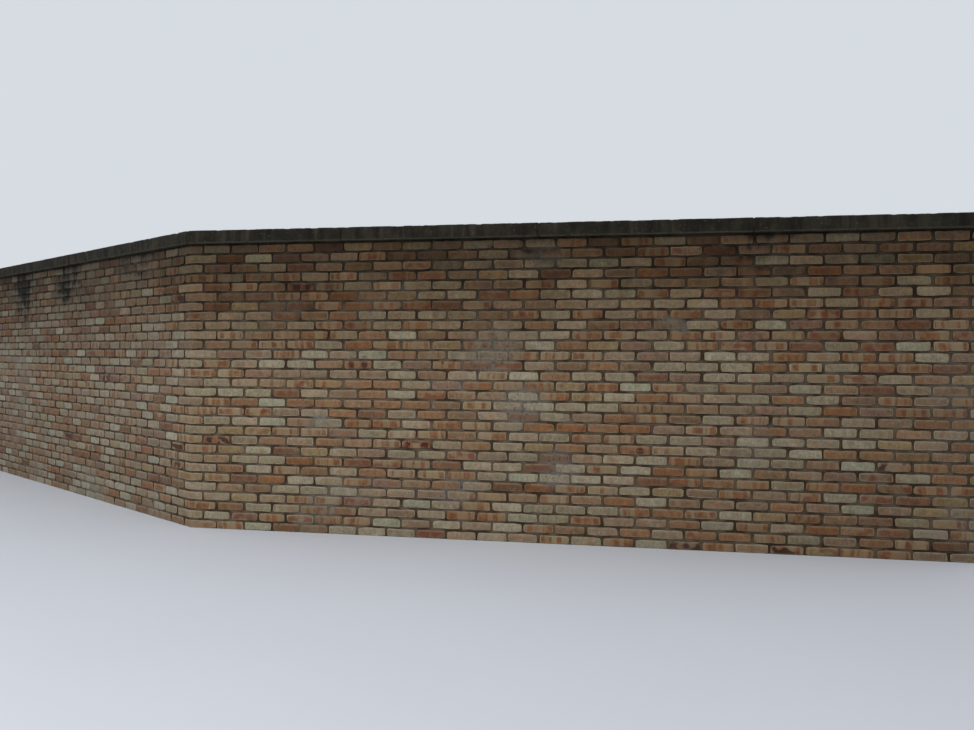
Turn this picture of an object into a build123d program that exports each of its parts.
from build123d import *

import os
from math import cos, radians, sin, tan

# A brick garden wall that turns a corner, under a weathered stone coping.
# The wall is two half-brick leaves with a mortar joint between them, laid in running bond.
# The main run goes along +X with its face towards -Y, and the wing goes back to the left.
# The origin is the foot of the outer arris of the bend. Sizes are in millimetres.

# Bricks and mortar
brick_length = 203
brick_height = 57
joint = 12  # bed joints, upright joints and the joint between the leaves
rake = 6  # how far a joint lies behind the face of the bricks
courses = 30

# The two runs
bend = 35  # degrees that the wall turns
main_bricks = 24  # whole bricks in a course of the main run, after the corner brick
wing_bricks = 23

# Coping
bay_bricks = 6.5  # bricks that one coping stone covers
bays = 3  # whole coping stones on each run, past the mitred stone at the bend
overhang = 38
coping_edge = 95  # height of the stone's upright edge
coping_rise = 12  # the ridge above that edge
arris_radius = 6  # rounding where the edge meets the weathered top
drip_radius = 6
drip_inset = 16  # centre of the drip groove, in from the stone's edge
coping_joint = 10
coping_rake = 4  # how far a coping joint lies behind the stone's surface

# Worked out from the sizes above
brick_width = (brick_length - joint) / 2  # two widths and a joint make one length
wall = 2 * brick_width + joint
pitch = brick_length + joint
course = brick_height + joint
brick_top = courses * course - joint
coping_base = brick_top + joint
mitre = tan(radians(bend / 2))  # how far the mitre plane moves along a run, per depth
bay = bay_bricks * pitch
past_end = wall  # how far a cutting box runs past the end that it opens

up = Vector(0, 0, 1)
mitre_line = Vector(sin(radians(bend / 2)), cos(radians(bend / 2)), 0)
mitre_normal = mitre_line.cross(up)  # points into the main run


class Run:
    """One straight length of the wall, from the bend to its far end."""

    def __init__(self, name, along, inward, bricks, long_rows, clear_of_mitre):
        self.name = name
        self.along = along
        self.inward = inward
        self.length = brick_length + bricks * pitch
        self.long_rows = range(long_rows, courses, 2)  # courses with the corner brick's long leg
        self.short_rows = range(1 - long_rows, courses, 2)
        self.clear_of_mitre = clear_of_mitre

    def at(self, distance, depth, height=0):
        """The point that far from the bend, that deep behind the face and that high."""
        return self.along * distance + self.inward * depth + up * height

    def elevation(self, depth=0):
        """The upright plane parallel to the face, with X along the run and Y up."""
        return Plane(origin=self.at(0, depth), x_dir=self.along, z_dir=self.along.cross(up))

    def section(self, distance):
        """The upright plane across the run, with X going in from the face and Y up."""
        return Plane(origin=self.at(distance, 0), x_dir=self.inward, z_dir=self.inward.cross(up))


bend_angle = radians(bend)
main_run = Run("main", Vector(1, 0, 0), Vector(0, 1, 0), main_bricks, 0, mitre_normal)
wing_run = Run(
    "wing",
    Vector(-cos(bend_angle), sin(bend_angle), 0),
    Vector(sin(bend_angle), cos(bend_angle), 0),
    wing_bricks,
    1,
    mitre_normal * -1,
)


def plan_outline(run, near, far, end):
    """The corners of a run in plan between two depths, from the mitre to its end."""
    return (
        run.at(near * mitre, near),
        run.at(end, near),
        run.at(end, far),
        run.at(far * mitre, far),
    )


def cut_boxes(run, depth, thickness, corners, width, height):
    """Cut equal boxes into the part, each from a lower left corner on the run's elevation."""
    with BuildSketch(run.elevation(depth)) as boxes:
        with Locations(*corners):
            Rectangle(width, height, align=Align.MIN)
    extrude(boxes.sketch, amount=thickness, dir=run.inward, mode=Mode.SUBTRACT)


def leaf(run, near, far, groove_depth):
    """One leaf: a slab with pockets for corner and end bricks and with raked joints."""
    with BuildPart() as piece:
        with BuildSketch():
            with BuildLine():
                Polyline(*plan_outline(run, near, far, run.length), close=True)
            make_face()
        extrude(amount=brick_top)

        # Pockets for the corner bricks, whose legs are long and short in turn
        start = -past_end
        for rows, leg in ((run.long_rows, brick_length), (run.short_rows, brick_width)):
            corners = [(start, row * course) for row in rows]
            cut_boxes(run, near, far - near, corners, leg - start, brick_height)
            corners = [(leg, row * course) for row in rows]
            cut_boxes(run, groove_depth, rake, corners, joint, brick_height)

        # Pockets for the bricks that are turned across the wall's end
        pocket = run.length - brick_width
        corners = [(pocket, row * course) for row in run.short_rows]
        cut_boxes(run, near, far - near, corners, brick_width + past_end, brick_height)
        corners = [(pocket - joint, row * course) for row in run.short_rows]
        cut_boxes(run, groove_depth, rake, corners, joint, brick_height)

        # Bed joints, raked back along the face and at the end
        beds = [row * course - joint for row in range(1, courses)]
        corners = [(start, height) for height in beds]
        cut_boxes(run, groove_depth, rake, corners, run.length - start + past_end, joint)
        corners = [(run.length - rake, height) for height in beds]
        cut_boxes(run, near, far - near, corners, rake + past_end, joint)
    return piece


def collar_joint(run):
    """The mortar between the two leaves, open at the end to the bricks turned across it."""
    near = brick_width
    with BuildPart() as piece:
        with BuildSketch():
            with BuildLine():
                Polyline(*plan_outline(run, near, near + joint, run.length - rake), close=True)
            make_face()
        extrude(amount=brick_top)
        corners = [(run.length - brick_width, row * course) for row in run.short_rows]
        cut_boxes(run, near, joint, corners, brick_width + past_end, brick_height)
    return piece


def corner_bricks(near, far):
    """A stack of bent bricks that turn the corner, each with a long and a short leg."""
    with BuildPart() as piece:
        for main_rows, main_leg, wing_leg in (
            (main_run.long_rows, brick_length, brick_width),
            (main_run.short_rows, brick_width, brick_length),
        ):
            with BuildSketch(*[Plane.XY.offset(row * course) for row in main_rows]):
                with BuildLine():
                    Polyline(
                        main_run.at(near * mitre, near),
                        main_run.at(main_leg, near),
                        main_run.at(main_leg, far),
                        main_run.at(far * mitre, far),
                        wing_run.at(wing_leg, far),
                        wing_run.at(wing_leg, near),
                        close=True,
                    )
                make_face()
            extrude(amount=brick_height)
    return piece


def end_bricks(run):
    """The bricks turned across the wall in every second course, which close its end."""
    with BuildPart() as piece:
        with BuildSketch(run.elevation()):
            with Locations(*[(run.length - brick_width, row * course) for row in run.short_rows]):
                Rectangle(brick_width, brick_height, align=Align.MIN)
        extrude(amount=wall, dir=run.inward)
    return piece


def coping_bed(run):
    """The mortar that the coping is laid in, raked back like the other joints."""
    with BuildPart() as piece:
        with BuildSketch(Plane.XY.offset(brick_top)):
            with BuildLine():
                Polyline(*plan_outline(run, rake, wall - rake, run.length - rake), close=True)
            make_face()
        extrude(amount=joint)
    return piece


def coping_outline(inset=0, spread=1):
    """The corners of the coping in section: upright edges and a top that falls both ways."""
    half_width = wall / 2 + overhang - inset
    shoulder = coping_base + coping_edge - inset
    return (
        ((wall / 2 - half_width) * spread, coping_base),
        ((wall / 2 - half_width) * spread, shoulder),
        (wall / 2 * spread, shoulder + coping_rise),
        ((wall / 2 + half_width) * spread, shoulder),
        ((wall / 2 + half_width) * spread, coping_base),
    )


def coping_stone(run, start, end):
    """One coping stone with drip grooves under both edges, mitred where it meets the bend."""
    with BuildPart() as piece:
        with BuildSketch(run.section(start)) as profile:
            with BuildLine():
                Polyline(*coping_outline(), close=True)
            make_face()
            fillet(profile.vertices().sort_by(Axis.Y)[2:4], radius=arris_radius)
            drip = overhang - drip_inset
            with Locations((-drip, coping_base), (wall + drip, coping_base)):
                Circle(drip_radius, mode=Mode.SUBTRACT)
        extrude(amount=end - start, dir=run.along)
        if start < 0:
            edge = Plane(
                origin=run.clear_of_mitre * (coping_joint / 2),
                z_dir=run.clear_of_mitre,
            )
            split(bisect_by=edge, keep=Keep.TOP)
    return piece


def coping_mortar(run, middle):
    """The mortar in the joint between two coping stones."""
    with BuildPart() as piece:
        with BuildSketch(run.section(middle - coping_joint / 2)):
            with BuildLine():
                Polyline(*coping_outline(inset=coping_rake), close=True)
            make_face()
        extrude(amount=coping_joint, dir=run.along)
    return piece


os.makedirs("parts", exist_ok=True)


def save(piece, name):
    """Label a finished piece and write it to its own file."""
    piece.part.label = name
    export_step(piece.part, f"parts/{name}.step")


# The two leaves of each run, and the mortar between them
back_near = brick_width + joint
for run in (main_run, wing_run):
    front_leaf = leaf(run, 0, brick_width, groove_depth=0)
    save(front_leaf, f"{run.name}_front_leaf")
    back_leaf = leaf(run, back_near, wall, groove_depth=wall - rake)
    save(back_leaf, f"{run.name}_back_leaf")
    save(collar_joint(run), f"{run.name}_collar_joint")
    save(end_bricks(run), f"{run.name}_end_bricks")
    save(coping_bed(run), f"{run.name}_coping_bed")

# The bent bricks at the corner
squint_bricks = corner_bricks(0, brick_width)
save(squint_bricks, "squint_bricks")
inner_corner_bricks = corner_bricks(back_near, wall)
save(inner_corner_bricks, "inner_corner_bricks")

# The coping, from the mitred stone at the bend to the last whole stone
for run in (main_run, wing_run):
    joints = [run.length - bay * count for count in range(bays, 0, -1)]
    starts = [-past_end] + [middle + coping_joint / 2 for middle in joints]
    ends = [middle - coping_joint / 2 for middle in joints] + [run.length]
    for number, (start, end) in enumerate(zip(starts, ends)):
        name = f"{run.name}_coping_{number}" if number else f"{run.name}_coping_mitred"
        save(coping_stone(run, start, end), name)
    for number, middle in enumerate(joints, start=1):
        save(coping_mortar(run, middle), f"{run.name}_coping_joint_{number}")

# The mortar in the mitre joint of the coping
with BuildPart() as mitre_joint:
    joint_side = Plane(
        origin=mitre_normal * (-coping_joint / 2), x_dir=mitre_line, z_dir=mitre_normal
    )
    with BuildSketch(joint_side):
        with BuildLine():
            spread = 1 / cos(radians(bend / 2))
            Polyline(*coping_outline(inset=coping_rake, spread=spread), close=True)
        make_face()
    extrude(amount=coping_joint)
save(mitre_joint, "coping_mitre_joint")
